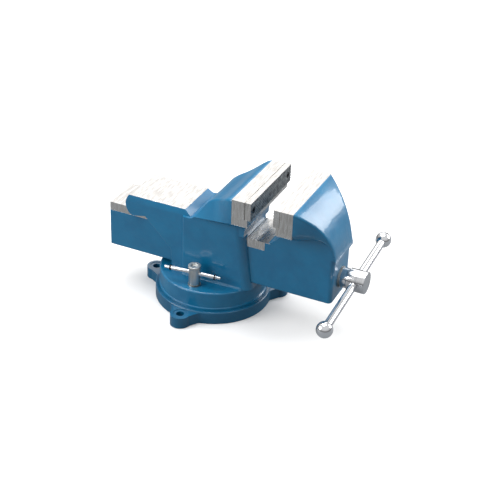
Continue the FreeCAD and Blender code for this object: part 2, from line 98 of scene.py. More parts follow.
@contextmanager
def editing(piece: bpy.types.Object) -> Iterator[None]:
    """Opens a piece in edit mode with nothing selected, and closes it again.

    Args:
        piece: The mesh object to shape.

    Returns:
        A context in which the piece is in edit mode.
    """
    take(piece)
    bpy.ops.object.mode_set(mode="EDIT")
    bpy.ops.mesh.select_all(action="DESELECT")
    try:
        yield
    finally:
        bpy.ops.object.mode_set(mode="OBJECT")


def pick(piece: bpy.types.Object, part: Part, wanted: Callable[[Any], bool]) -> int:
    """Selects the elements of the piece in edit mode that pass a test.

    Args:
        piece: The piece in edit mode.
        part: Whether vertices, edges or faces are picked.
        wanted: The test of one element.

    Returns:
        How many elements are selected.
    """
    bpy.ops.mesh.select_all(action="DESELECT")
    bpy.ops.mesh.select_mode(type=part.value)
    shape = bmesh.from_edit_mesh(piece.data)
    elements = {Part.VERTS: shape.verts, Part.EDGES: shape.edges, Part.FACES: shape.faces}[part]
    count = 0
    for element in elements:
        if wanted(element):
            element.select_set(True)
            count += 1
    shape.select_flush_mode()
    bmesh.update_edit_mesh(piece.data)
    return count


def settle(piece: bpy.types.Object) -> None:
    """Puts a piece's place, turn and size into its mesh."""
    take(piece)
    bpy.ops.object.transform_apply(location=True, rotation=True, scale=True)


def face_out(piece: bpy.types.Object) -> None:
    """Turns every face of a closed piece outwards.

    Args:
        piece: The closed piece.
    """
    with editing(piece):
        bpy.ops.mesh.select_all(action="SELECT")
        bpy.ops.mesh.normals_make_consistent(inside=False)


def finish_with(piece: bpy.types.Object, kind: str, **settings: Any) -> None:
    """Adds a modifier to a piece and applies it.

    Args:
        piece: The piece to finish.
        kind: The modifier's type.
        settings: The modifier's properties.
    """
    take(piece)
    modifier = piece.modifiers.new(kind.title(), kind)
    for name, value in settings.items():
        setattr(modifier, name, value)
    bpy.ops.object.modifier_apply(modifier=modifier.name)


def soften_edges(piece: bpy.types.Object, width: float, segments: int = 2, angle: float = 32.0) -> None:
    """Rounds the edges sharper than an angle.

    Args:
        piece: The piece to soften.
        width: Width of the rounding.
        segments: Facets across the rounding.
        angle: Smallest angle between two faces, in degrees, that is rounded.
    """
    finish_with(piece, "BEVEL", width=width, segments=segments, limit_method="ANGLE",
                angle_limit=math.radians(angle), use_clamp_overlap=True)


def smooth(piece: bpy.types.Object, angle: float = 34.0, weighted: bool = True) -> None:
    """Shades a piece smooth below an angle, with flat faces kept flat.

    Args:
        piece: The piece to shade.
        angle: Edges sharper than this many degrees stay hard.
        weighted: Whether large faces lead the shading of the roundings beside them.
    """
    take(piece)
    bpy.ops.object.shade_smooth_by_angle(angle=math.radians(angle))
    if weighted:
        finish_with(piece, "WEIGHTED_NORMAL", keep_sharp=True, weight=80)


def turned(name: str, stations: Sequence[Station], segments: int = 64) -> bpy.types.Object:
    """Turns a closed piece about the Z axis by pulling one disc from ring to ring.

    Args:
        name: Name of the piece.
        stations: The rings, from one end to the other.
        segments: Sides of each ring.

    Returns:
        The new piece, standing on the Z axis.
    """
    first = stations[0]
    bpy.ops.object.select_all(action="DESELECT")
    bpy.ops.mesh.primitive_circle_add(vertices=segments, radius=first.radius, fill_type="NGON",
                                      location=(0.0, 0.0, first.along))
    piece = bpy.context.object
    piece.name = name
    with editing(piece):
        bpy.ops.mesh.select_all(action="SELECT")
        for before, station in zip(stations, stations[1:]):
            rise = (0.0, 0.0, station.along - before.along)
            bpy.ops.mesh.extrude_region_move(TRANSFORM_OT_translate={"value": rise})
            grow = station.radius / before.radius
            if abs(grow - 1.0) > 1e-6:
                bpy.ops.transform.resize(value=(grow, grow, 1.0), center_override=(0.0, 0.0, station.along))
    settle(piece)
    face_out(piece)
    return piece


def set_on_axis(piece: bpy.types.Object, origin: Vector, axis: Vector) -> None:
    """Carries a piece from the Z axis to another axis.

    Args:
        piece: The piece that stands on the Z axis.
        origin: Where the piece's zero goes.
        axis: Direction that the Z axis takes.
    """
    turn = UPWARD.rotation_difference(axis.normalized()).to_matrix().to_4x4()
    piece.matrix_world = Matrix.Translation(origin) @ turn
    settle(piece)


def cut_away(piece: bpy.types.Object, cutter: bpy.types.Object) -> None:
    """Cuts one closed piece out of another and throws the cutter away."""
    finish_with(piece, "BOOLEAN", operation="DIFFERENCE", solver="EXACT", object=cutter)
    bpy.data.objects.remove(cutter)


def drill(origin: Vector, axis: Vector, radius: float, depth: float) -> bpy.types.Object:
    """Makes a drill that reaches the same way on both sides of a point.

    Args:
        origin: The point.
        axis: Direction of the hole.
        radius: Radius of the hole.
        depth: Reach on each side.

    Returns:
        The cutter.
    """
    cutter = turned("drill", [Station(-depth, radius), Station(depth, radius)], DRILL_SIDES)
    set_on_axis(cutter, origin, axis)
    return cutter


def merged_copy(node: str, name: str) -> bpy.types.Object:
    """Copies a CAD node into a new piece with joined corners and whole flat faces.

    Args:
        node: Name of the CAD node.
        name: Name of the new piece.

    Returns:
        The new piece.
    """
    piece = bpy.data.objects.new(name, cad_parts[node].data.copy())
    bpy.context.scene.collection.objects.link(piece)
    take(piece)
    bpy.ops.mesh.customdata_custom_splitnormals_clear()
    piece.data.materials.clear()
    with editing(piece):
        bpy.ops.mesh.select_all(action="SELECT")
        bpy.ops.mesh.remove_doubles(threshold=1e-6)
        bpy.ops.mesh.dissolve_limited(angle_limit=math.radians(0.4))
    return piece


def fit(piece: bpy.types.Object, body: str, nodes: Sequence[str]) -> None:
    """Joins a finished piece to its body in place of its CAD nodes, and reports it.

    Args:
        piece: The finished piece.
        body: The body it rides on.
        nodes: The CAD nodes it stands for.
    """
    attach(piece, body)
    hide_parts(*nodes)
    LOG.info("%s: %d faces on %s", piece.name, len(piece.data.polygons), body)


def paint(piece: bpy.types.Object, material: bpy.types.Material) -> None:
    """Gives a piece one material."""
    piece.data.materials.clear()
    piece.data.materials.append(material)


# ---------------------------------------------------------------- node helpers
class NodeBench:
    """Adds nodes to one tree, with values or links given by socket name."""

    def __init__(self, tree: bpy.types.NodeTree) -> None:
        """Keeps the tree and starts its first column."""
        self.tree = tree
        self.column = 0

    def add(self, kind: str, inputs: dict[Any, Any] | None = None, **settings: Any) -> bpy.types.Node:
        """Adds one node.

        Args:
            kind: The node's type without its ShaderNode prefix.
            inputs: Values or output sockets, by input name or number.
            settings: The node's own properties.

        Returns:
            The new node.
        """
        prefix = "" if kind.startswith("NodeGroup") else "ShaderNode"
        node = self.tree.nodes.new(prefix + kind)
        node.location = (180.0 * self.column, 0.0)
        self.column += 1
        for name, value in settings.items():
            setattr(node, name, value)
        for name, value in (inputs or {}).items():
            if isinstance(value, bpy.types.NodeSocket):
                self.tree.links.new(value, node.inputs[name])
            else:
                node.inputs[name].default_value = value
        return node

    def group(self, group: bpy.types.NodeTree, inputs: dict[str, Any]) -> bpy.types.Node:
        """Places a node group with its own values."""
        return self.add("Group", inputs, node_tree=group)

    def maths(self, operation: str, first: Any, second: Any = 0.0) -> bpy.types.NodeSocket:
        """Adds a Math node and returns its value."""
        return self.add("Math", {0: first, 1: second}, operation=operation).outputs[0]

    def vector(self, operation: str, first: Any, second: Any = (0.0, 0.0, 0.0)) -> bpy.types.NodeSocket:
        """Adds a Vector Math node and returns its vector."""
        return self.add("VectorMath", {0: first, 1: second}, operation=operation).outputs[0]

    def noise(self, vector: Any, scale: float, detail: float = 2.0, roughness: float = 0.5) -> Any:
        """Adds a noise of one scale.

        Args:
            vector: Where it is read.
            scale: Lumps per unit of length there.
            detail: How many finer layers it has.
            roughness: Strength of the finer layers.

        Returns:
            The noise's value.
        """
        values = {"Vector": vector, "Scale": scale, "Detail": detail, "Roughness": roughness}
        return self.add("TexNoise", values).outputs["Fac"]

    def remap(self, value: Any, low: float, high: float, to_low: float = 0.0,
              to_high: float = 1.0) -> bpy.types.NodeSocket:
        """Adds a Map Range node with a soft start and end.

        Args:
            value: The value to map.
            low: Where the range starts.
            high: Where it ends.
            to_low: Result at its start.
            to_high: Result at its end.

        Returns:
            The mapped value.
        """
        values = {"Value": value, "From Min": low, "From Max": high, "To Min": to_low, "To Max": to_high}
        return self.add("MapRange", values, interpolation_type="SMOOTHSTEP").outputs[0]

    def blend(self, share: Any, first: Any, second: Any) -> bpy.types.NodeSocket:
        """Mixes two colours by the second one's share, and returns the result."""
        return self.add("Mix", {0: share, 6: first, 7: second}, data_type="RGBA").outputs[2]


class Effects:
    """The node groups that several finishes share. Each one is built once.

    Args:
        _built: The groups that are ready, by name.
    """

    _built: ClassVar[dict[str, bpy.types.NodeTree]] = {}

    @classmethod
    def _group(cls, name: str, takes: dict[str, tuple[str, Any]], gives: Sequence[str],
               fill: Callable[[NodeBench, Any], dict[str, Any]]) -> bpy.types.NodeTree:
        """Returns a group, building it the first time.

        Args:
            name: The group's name.
            takes: Input names, with their socket type and starting value.
            gives: Output names, all of them values.
            fill: Adds the nodes between, and returns each output's socket.

        Returns:
            The node group.
        """
        if name in cls._built:
            return cls._built[name]
        tree = bpy.data.node_groups.new(name, "ShaderNodeTree")
        for socket_name, (kind, start) in takes.items():
            socket = tree.interface.new_socket(socket_name, in_out="INPUT", socket_type=kind)
            if start is not None:
                socket.default_value = start
        for socket_name in gives:
            tree.interface.new_socket(socket_name, in_out="OUTPUT", socket_type="NodeSocketFloat")
        bench = NodeBench(tree)
        entry = bench.add("NodeGroupInput")
        results = fill(bench, entry.outputs)
        leave = bench.add("NodeGroupOutput")
        for socket_name, socket in results.items():
            tree.links.new(socket, leave.inputs[socket_name])
        cls._built[name] = tree
        return tree

    @classmethod
    def uneven_coat(cls) -> bpy.types.NodeTree:
        """Sprayed enamel over a sand casting: a fine peel, soft lumps and a slow change of tone.

        Returns:
            The node group.
        """
        def fill(bench: NodeBench, given: Any) -> dict[str, Any]:
            """Adds the peel, the lumps and the tone.

            Args:
                bench: Bench for the group's tree.
                given: The group's inputs.

            Returns:
                The socket of each output.
            """
            peel = bench.noise(given["Vector"], 620.0, 2.0)
            lumps = bench.noise(given["Vector"], 85.0, 2.0)
            height = bench.maths("ADD", bench.maths("MULTIPLY", peel, given["Peel"]), lumps)
            tone = bench.remap(bench.noise(given["Vector"], 22.0, 3.0, 0.6), 0.3, 0.7)
            return {"Height": height, "Tone": tone}

        takes = {"Vector": ("NodeSocketVector", None), "Peel": ("NodeSocketFloat", 0.3)}
        return cls._group("uneven_coat", takes, ("Height", "Tone"), fill)

    @classmethod
    def grinding_lines(cls) -> bpy.types.NodeTree:
        """Marks of a grinding wheel, drawn out along one direction.

        Returns:
            The node group.
        """
        def fill(bench: NodeBench, given: Any) -> dict[str, Any]:
            """Adds the fine and the broad lines.

            Args:
                bench: Bench for the group's tree.
                given: The group's inputs.

            Returns:
                The socket of each output.
            """
            drawn = bench.vector("MULTIPLY", given["Vector"], given["Stretch"])
            fine = bench.noise(drawn, 1.0, 4.0, 0.65)
            broad = bench.noise(bench.vector("MULTIPLY", drawn, (0.22, 0.22, 0.22)), 1.0, 2.0)
            height = bench.maths("ADD", fine, bench.maths("MULTIPLY", broad, 0.6))
            return {"Height": height, "Tone": bench.remap(broad, 0.32, 0.68)}

        takes = {"Vector": ("NodeSocketVector", None),
                 "Stretch": ("NodeSocketVector", (300.0, 300.0, 300.0))}
        return cls._group("grinding_lines", takes, ("Height", "Tone"), fill)

    @classmethod
    def handling_marks(cls) -> bpy.types.NodeTree:
        """Faint smears and hairline scratches left by hands and tools.

        Returns:
            The node group.
        """
        def fill(bench: NodeBench, given: Any) -> dict[str, Any]:
            """Adds the smears and the hairlines.

            Args:
                bench: Bench for the group's tree.
                given: The group's inputs.

            Returns:
                The socket of each output.
            """
            smears = bench.remap(bench.noise(given["Vector"], 38.0, 4.0, 0.6), 0.42, 0.72)
            drawn = bench.vector("MULTIPLY", given["Vector"], (900.0, 60.0, 140.0))
            hairs = bench.remap(bench.noise(drawn, 1.0, 3.0, 0.7), 0.62, 0.68)
            faint_hairs = bench.maths("MULTIPLY", hairs, 0.5)
            marks = bench.maths("ADD", bench.maths("MULTIPLY", smears, 0.7), faint_hairs)
            return {"Mask": bench.maths("MULTIPLY", marks, given["Amount"])}

        takes = {"Vector": ("NodeSocketVector", None), "Amount": ("NodeSocketFloat", 1.0)}
        return cls._group("handling_marks", takes, ("Mask",), fill)

    @classmethod
    def zone(cls) -> bpy.types.NodeTree:
        """A box-shaped zone of a casting, with a slightly wandering border.

        Returns:
            The node group.
        """
        def fill(bench: NodeBench, given: Any) -> dict[str, Any]:
            """Measures how far a point is outside the box.

            Args:
                bench: Bench for the group's tree.
                given: The group's inputs.

            Returns:
                The socket of each output.
            """
            waver = bench.maths("SUBTRACT", bench.noise(given["Vector"], 160.0, 3.0), 0.5)
            wander = bench.maths("MULTIPLY", waver, given["Wander"])
            middle = bench.vector("SCALE", bench.vector("ADD", given["Low"], given["High"]))
            middle.node.inputs["Scale"].default_value = 0.5
            half = bench.vector("SCALE", bench.vector("SUBTRACT", given["High"], given["Low"]))
            half.node.inputs["Scale"].default_value = 0.5
            away = bench.vector("ABSOLUTE", bench.vector("SUBTRACT", given["Vector"], middle))
            parts = bench.add("SeparateXYZ", {0: bench.vector("SUBTRACT", away, half)}).outputs
            furthest = bench.maths("MAXIMUM", bench.maths("MAXIMUM", parts[0], parts[1]), parts[2])
            border = bench.maths("ADD", furthest, wander)
            return {"Mask": bench.remap(border, -ZONE_EDGE, ZONE_EDGE, 1.0, 0.0)}

        takes = {"Vector": ("NodeSocketVector", None), "Low": ("NodeSocketVector", None),
                 "High": ("NodeSocketVector", None), "Wander": ("NodeSocketFloat", 0.8 * MM)}
        return cls._group("zone", takes, ("Mask",), fill)


Colour = tuple[float, float, float, float]


def colour(red: float, green: float, blue: float) -> Colour:
    """Gives a linear colour with full cover."""
    return (red, green, blue, 1.0)


def new_material(name: str) -> tuple[bpy.types.Material, NodeBench, bpy.types.Node, bpy.types.NodeSocket]:
    """Starts a material.

    Args:
        name: The finish's name.

    Returns:
        The material, a bench for its tree, its surface shader and the object coordinates.
    """
    material = bpy.data.materials.new(name)
    material.use_nodes = True
    bench = NodeBench(material.node_tree)
    shader = material.node_tree.nodes["Principled BSDF"]
    place = bench.add("TexCoord").outputs["Object"]
    return material, bench, shader, place


def bump(bench: NodeBench, shader: bpy.types.Node, height: Any, depth: float) -> None:
    """Feeds a height to a shader's normal, with the relief's depth in metres."""
    relief = bench.add("Bump", {"Height": height, "Distance": depth, "Strength": 1.0})
    bench.tree.links.new(relief.outputs[0], shader.inputs["Normal"])


# ---------------------------------------------------------------- finishes
@dataclass(frozen=True)
class BareZone:
    """A box of a casting that was machined after painting.

    Args:
        low: Lowest corner.
        high: Highest corner.
    """

    low: tuple[float, float, float]
    high: tuple[float, float, float]


@dataclass(frozen=True)
class BlueEnamel:
    """Gloss blue enamel on cast iron, with machined zones left bare.

    Args:
        name: The material's name.
        bare: Zones where the bare metal shows.
        deep: The enamel's darker tone.
        light: Its lighter tone.
        gloss: Roughness of the enamel.
        coat: Weight of the clear gloss over it.
        brush: Grinding lines on the bare metal, as strokes per metre along each axis.
        metal: The bare metal's lighter tone.
        worn_metal: Its darker tone.
    """

    name: str
    bare: tuple[BareZone, ...] = ()
    deep: Colour = colour(0.002, 0.118, 0.250)
    light: Colour = colour(0.003, 0.148, 0.300)
    gloss: float = 0.30
    coat: float = 0.45
    brush: tuple[float, float, float] = (2200.0, 240.0, 240.0)
    metal: Colour = colour(0.66, 0.65, 0.63)
    worn_metal: Colour = colour(0.50, 0.48, 0.46)

    def material(self) -> bpy.types.Material:
        """Builds the material.

        Returns:
            The material.
        """
        material, bench, shader, place = new_material(self.name)
        coat = bench.group(Effects.uneven_coat(), {"Vector": place, "Peel": 0.12})
        marks = bench.group(Effects.handling_marks(), {"Vector": place, "Amount": 0.5})
        tint = bench.blend(coat.outputs["Tone"], self.deep, self.light)
        rough = bench.maths("ADD", bench.maths("MULTIPLY", marks.outputs["Mask"], 0.16), self.gloss)
        height = coat.outputs["Height"]
        shader.inputs["Coat Roughness"].default_value = 0.05
        shader.inputs["Coat IOR"].default_value = 1.5
        if self.bare:
            mask = self._bare_mask(bench, place)
            lines = bench.group(Effects.grinding_lines(), {"Vector": place, "Stretch": self.brush})
            metal = bench.blend(lines.outputs["Tone"], self.worn_metal, self.metal)
            tint = bench.blend(mask, tint, metal)
            ground = bench.remap(lines.outputs["Tone"], 0.0, 1.0, 0.36, 0.24)
            rough = self._mixed(bench, mask, rough, ground)
            line_height = bench.maths("MULTIPLY", lines.outputs["Height"], 0.08)
            height = self._mixed(bench, mask, height, line_height)
            bench.tree.links.new(mask, shader.inputs["Metallic"])
            cover = bench.maths("MULTIPLY", bench.maths("SUBTRACT", 1.0, mask), self.coat)
            bench.tree.links.new(cover, shader.inputs["Coat Weight"])
        else:
            shader.inputs["Coat Weight"].default_value = self.coat
        bench.tree.links.new(tint, shader.inputs["Base Color"])
        bench.tree.links.new(rough, shader.inputs["Roughness"])
        bump(bench, shader, height, COAT_RELIEF)
        return material

    def _bare_mask(self, bench: NodeBench, place: Any) -> Any:
        """Adds every bare zone up to one mask.

        Args:
            bench: Bench for the material's tree.
            place: The object coordinates.

        Returns:
            The mask, 1 where the metal is bare.
        """
        mask = None
        for zone in self.bare:
            node = bench.group(Effects.zone(), {"Vector": place, "Low": zone.low, "High": zone.high})
            mask = node.outputs[0] if mask is None else bench.maths("MAXIMUM", mask, node.outputs[0])
        return mask

    @staticmethod
    def _mixed(bench: NodeBench, share: Any, first: Any, second: Any) -> Any:
        """Goes from one value to another by a share."""
        change = bench.maths("MULTIPLY", bench.maths("SUBTRACT", second, first), share)
        return bench.maths("ADD", first, change)


@dataclass(frozen=True)
class BareMetal:
    """A metal surface with drawn-out tool lines and marks of use.

    Args:
        name: The material's name.
        light: Its lighter tone.
        dark: Its darker tone.
        rough: Roughness of the clean metal.
        wear: How much the handling marks dull it.
        lines: Tool lines per metre along each axis.
        relief: Depth of the tool lines.
    """

    name: str
    light: Colour
    dark: Colour
    rough: float
    wear: float = 0.15
    lines: tuple[float, float, float] = (500.0, 500.0, 500.0)
    relief: float = 0.02 * MM

    def material(self) -> bpy.types.Material:
        """Builds the material.

        Returns:
            The material.
        """
        material, bench, shader, place = new_material(self.name)
        lines = bench.group(Effects.grinding_lines(), {"Vector": place, "Stretch": self.lines})
        marks = bench.group(Effects.handling_marks(), {"Vector": place, "Amount": 1.0})
        tint = bench.blend(lines.outputs["Tone"], self.dark, self.light)
        dulled = bench.maths("MULTIPLY", marks.outputs["Mask"], self.wear)
        rough = bench.maths("ADD", dulled, self.rough)
        shader.inputs["Metallic"].default_value = 1.0
        bench.tree.links.new(tint, shader.inputs["Base Color"])
        bench.tree.links.new(rough, shader.inputs["Roughness"])
        bump(bench, shader, lines.outputs["Height"], self.relief)
        return material


class Finishes:
    """Every finish of the vise, built once."""

    def __init__(self) -> None:
        """Builds the metals. The castings' enamels are added with their own bare zones."""
        self.ground_steel = BareMetal("ground_steel", colour(0.66, 0.65, 0.63), colour(0.50, 0.48, 0.46),
                                      0.26, lines=(2200.0, 240.0, 240.0)).material()
        self.gripping_face = BareMetal("gripping_face", colour(0.40, 0.42, 0.43), colour(0.20, 0.21, 0.22),
                                       0.30, lines=(700.0, 700.0, 700.0), relief=0.02 * MM).material()
        self.chrome = BareMetal("bright_chrome", colour(0.83, 0.84, 0.86), colour(0.74, 0.75, 0.77), 0.06,
                                wear=0.10, lines=(90.0, 90.0, 90.0), relief=0.01 * MM).material()
        self.turned_chrome = BareMetal("turned_chrome", colour(0.78, 0.79, 0.81), colour(0.62, 0.63, 0.65),
                                       0.14, wear=0.14, lines=(1400.0, 60.0, 60.0),
                                       relief=0.015 * MM).material()
        self.dull_zinc = BareMetal("dull_zinc", colour(0.66, 0.67, 0.66), colour(0.48, 0.49, 0.48), 0.40,
                                   lines=(300.0, 300.0, 120.0), relief=0.08 * MM).material()
        self.plated_steel = BareMetal("plated_steel", colour(0.55, 0.55, 0.53), colour(0.36, 0.36, 0.34),
                                      0.33).material()
        self.blackened = BareMetal("blackened_steel", colour(0.035, 0.036, 0.04),
                                   colour(0.015, 0.015, 0.018), 0.38).material()
        self.bronze = BareMetal("bronze", colour(0.50, 0.31, 0.12), colour(0.33, 0.19, 0.07), 0.36,
                                relief=0.06 * MM).material()
        self.oiled_thread = BareMetal("oiled_thread", colour(0.36, 0.34, 0.31), colour(0.17, 0.16, 0.14),
                                      0.26, lines=(900.0, 200.0, 200.0)).material()


# ---------------------------------------------------------------- castings
@dataclass
class Casting:
    """One of the vise's iron castings, with softened edges and its own enamel.

    Args:
        node: The CAD node it stands for.
        body: The body it rides on.
        enamel: Its finish.
        edge: Width of the rounding on its sharp edges, or 0 to keep them.
    """

    node: str
    body: str
    enamel: BlueEnamel
    edge: float = 0.7 * MM

    def build(self) -> bpy.types.Object:
        """Builds, dresses and fits the casting.

        Returns:
            The casting.
        """
        piece = merged_copy(self.node, self.node.replace("_casting", "") + "_enamelled")
        if self.edge > 0.0:
            soften_edges(piece, self.edge)
        smooth(piece, 38.0)
        paint(piece, self.enamel.material())
        fit(piece, self.body, [self.node])
        return piece


@dataclass
class Castings:
    """The swivel base, the body and the moving jaw.

    Args:
        seat_floor: Height from which a jaw seat is bare metal.
        slide_strip: Height from which the slide's sides are bare.
        strip_front: Where the bare strip ends, towards the moving jaw.
        neck_front: Where the bare top of the slide ends under the neck.
        slide_top: Height of the slide's top.
        anvil_top: Height of the anvil's top.
        anvil_front: Where the anvil's bare top ends, towards the fixed jaw.
        seat_depth: Thickness of each jaw seat behind its plate.
        margin: How far a zone reaches past the metal it covers.
    """

    seat_floor: float = 182.5 * MM
    slide_strip: float = 126.6 * MM
    strip_front: float = 103.0 * MM
    neck_front: float = 112.0 * MM
    slide_top: float = 141.0 * MM
    anvil_top: float = 165.6 * MM
    anvil_front: float = -32.5 * MM
    seat_depth: float = 21.0 * MM
    margin: float = 20.0 * MM

    def build(self) -> None:
        """Builds the three castings."""
        # The swivel base's enamel is a darker copy of the same blue: painted shade for the weaker light low
        # down near the bench.
        base_enamel_painted_shade = BlueEnamel("enamel_base_painted_shade", deep=colour(0.001, 0.082, 0.175),
                                 light=colour(0.002, 0.102, 0.210))
        Casting("swivel_base", "base", base_enamel_painted_shade, edge=1.0 * MM).build()
        Casting("body_casting", "vise_body", BlueEnamel("enamel_body", self._body_zones())).build()
        Casting("moving_jaw_casting", "moving_jaw", BlueEnamel("enamel_moving_jaw", self._jaw_zones()),
                edge=0.0).build()

    def _body_zones(self) -> tuple[BareZone, ...]:
        """Places the anvil's top and the fixed seat.

        Returns:
            The body's bare zones.
        """
        low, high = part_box("body_casting")
        plate_low, plate_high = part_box("fixed_jaw_plate")
        seat_back = plate_low.x - self.seat_depth
        anvil = BareZone((low.x - self.margin, low.y, self.anvil_top - 0.5 * MM),
                         (self.anvil_front, high.y, self.anvil_top + MM))
        seat = BareZone((seat_back, low.y - self.margin, self.seat_floor),
                        (plate_high.x + self.margin, high.y + self.margin, high.z + self.margin))
        return (anvil, seat)

    def _jaw_zones(self) -> tuple[BareZone, ...]:
        """Places the moving seat, the slide's top and the strip down its sides.

        Returns:
            The moving jaw's bare zones.
        """
        low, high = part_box("moving_jaw_casting")
        plate_low, plate_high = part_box("moving_jaw_plate")
        seat_back = plate_high.x + self.seat_depth
        seat = BareZone((plate_low.x - self.margin, low.y - self.margin, self.seat_floor),
                        (seat_back, high.y + self.margin, high.z + self.margin))
        strip = BareZone((low.x - self.margin, low.y, self.slide_strip),
                         (self.strip_front, high.y, self.slide_top + MM))
        top = BareZone((low.x - self.margin, low.y, self.slide_top - 0.4 * MM),
                       (self.neck_front, high.y, self.slide_top + 0.6 * MM))
        return (seat, strip, top)


# ---------------------------------------------------------------- jaw plates
@dataclass
class JawPlate:
    """Hardened jaw plate with a cross-cut gripping face and two sunk screw holes.

    Args:
        node: The CAD node it stands for.
        body: The body it rides on.
        outward: +1 where the gripping face looks along +X, -1 where it looks back.
        screws: The CAD node of its screws, which gives the holes' places.
        pitch: Distance between two cuts of the gripping face.
        depth: Depth of the cuts.
        hole_radius: Radius of the sunk part of each hole.
        hole_depth: Depth of the sunk part.
        rear_chamfer: Width of the chamfer round the plate's back.
    """

    node: str
    body: str
    outward: float
    screws: str
    pitch: float = 3.4 * MM
    depth: float = 0.9 * MM
    hole_radius: float = 5.25 * MM
    hole_depth: float = 4.3 * MM
    rear_chamfer: float = 1.2 * MM

    def build(self, finishes: Finishes) -> bpy.types.Object:
        """Builds, dresses and fits the plate.

        Args:
            finishes: The vise's finishes.

        Returns:
            The plate.
        """
        low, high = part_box(self.node)
        face = high.x if self.outward > 0 else low.x
        rear = low.x if self.outward > 0 else high.x
        piece = self._cut_face(low, high, face)
        with editing(piece):
            pick(piece, Part.EDGES, lambda edge: edge.is_boundary)
            bpy.ops.mesh.extrude_region_move(TRANSFORM_OT_translate={"value": (rear - face, 0.0, 0.0)})
            bpy.ops.transform.resize(value=(0.0, 1.0, 1.0), center_override=(rear, 0.0, 0.0))
            bpy.ops.mesh.edge_face_add()
            bpy.ops.mesh.region_to_loop()
            bpy.ops.mesh.bevel(offset=self.rear_chamfer, segments=1)
        face_out(piece)
        self._sink_holes(piece, face)
        self._dress(piece, finishes, face)
        fit(piece, self.body, [self.node])
        return piece

    def _cut_face(self, low: Vector, high: Vector, face: float) -> bpy.types.Object:
        """Makes the gripping face: a slanting grid of small pyramids, trimmed to the plate.

        Args:
            low: Lowest corner of the plate.
            high: Highest corner of the plate.
            face: Where the gripping face is, along X.

        Returns:
            The open sheet of the face.
        """
        middle = (low + high) / 2
        span = (high.y - low.y) + (high.z - low.z)
        cells = math.ceil(span / math.sqrt(2.0) / self.pitch)
        bpy.ops.object.select_all(action="DESELECT")
        bpy.ops.mesh.primitive_grid_add(x_subdivisions=cells, y_subdivisions=cells, size=cells * self.pitch,
                                        rotation=(0.0, math.radians(90.0), 0.0),
                                        location=(face - self.outward * self.depth, middle.y, middle.z))
        sheet = bpy.context.object
        sheet.name = self.node + "_cross_cut"
        settle(sheet)
        crest = (self.outward * self.depth, 0.0, 0.0)
        with editing(sheet):
            bpy.ops.mesh.select_all(action="SELECT")
            bpy.ops.transform.rotate(value=math.radians(45.0), orient_axis="X",
                                     center_override=(face, middle.y, middle.z))
            bpy.ops.mesh.poke()
            pick(sheet, Part.VERTS, lambda vert: len(vert.link_edges) == 4 and not vert.is_boundary
                 and all(len(edge.other_vert(vert).link_edges) != 4 for edge in vert.link_edges))
            bpy.ops.transform.translate(value=crest)
            for axis, limit in ((1, low), (1, high), (2, low), (2, high)):
                normal = Vector((0.0, 0.0, 0.0))
                normal[axis] = 1.0 if limit is high else -1.0
                bpy.ops.mesh.select_all(action="SELECT")
                bpy.ops.mesh.bisect(plane_co=limit, plane_no=normal, clear_outer=True)
        return sheet

    def _sink_holes(self, piece: bpy.types.Object, face: float) -> None:
        """Sinks the two screw holes to the depth of the screw heads.

        Args:
            piece: The plate.
            face: Where the gripping face is, along X.
        """
        low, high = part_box(self.screws)
        reach = high.z - low.z
        centre = (low + high) / 2
        for side in (low.y + reach / 2, high.y - reach / 2):
            hole = drill(Vector((face, side, centre.z)), ALONG_SLIDE, self.hole_radius, self.hole_depth)
            cut_away(piece, hole)

    def _dress(self, piece: bpy.types.Object, finishes: Finishes, face: float) -> None:
        """Gives the gripping face its dark finish and the ground sides theirs.

        Args:
            piece: The plate.
            finishes: The vise's finishes.
            face: Where the gripping face is, along X.
        """
        paint(piece, finishes.ground_steel)
        piece.data.materials.append(finishes.gripping_face)
        reach = 1.5 * self.depth
        with editing(piece):
            pick(piece, Part.FACES, lambda part: abs(part.calc_center_median().x - face) < reach
                 and abs(part.normal.x) > 0.2)
            piece.active_material_index = 1
            bpy.ops.object.material_slot_assign()
        smooth(piece, 12.0, weighted=False)


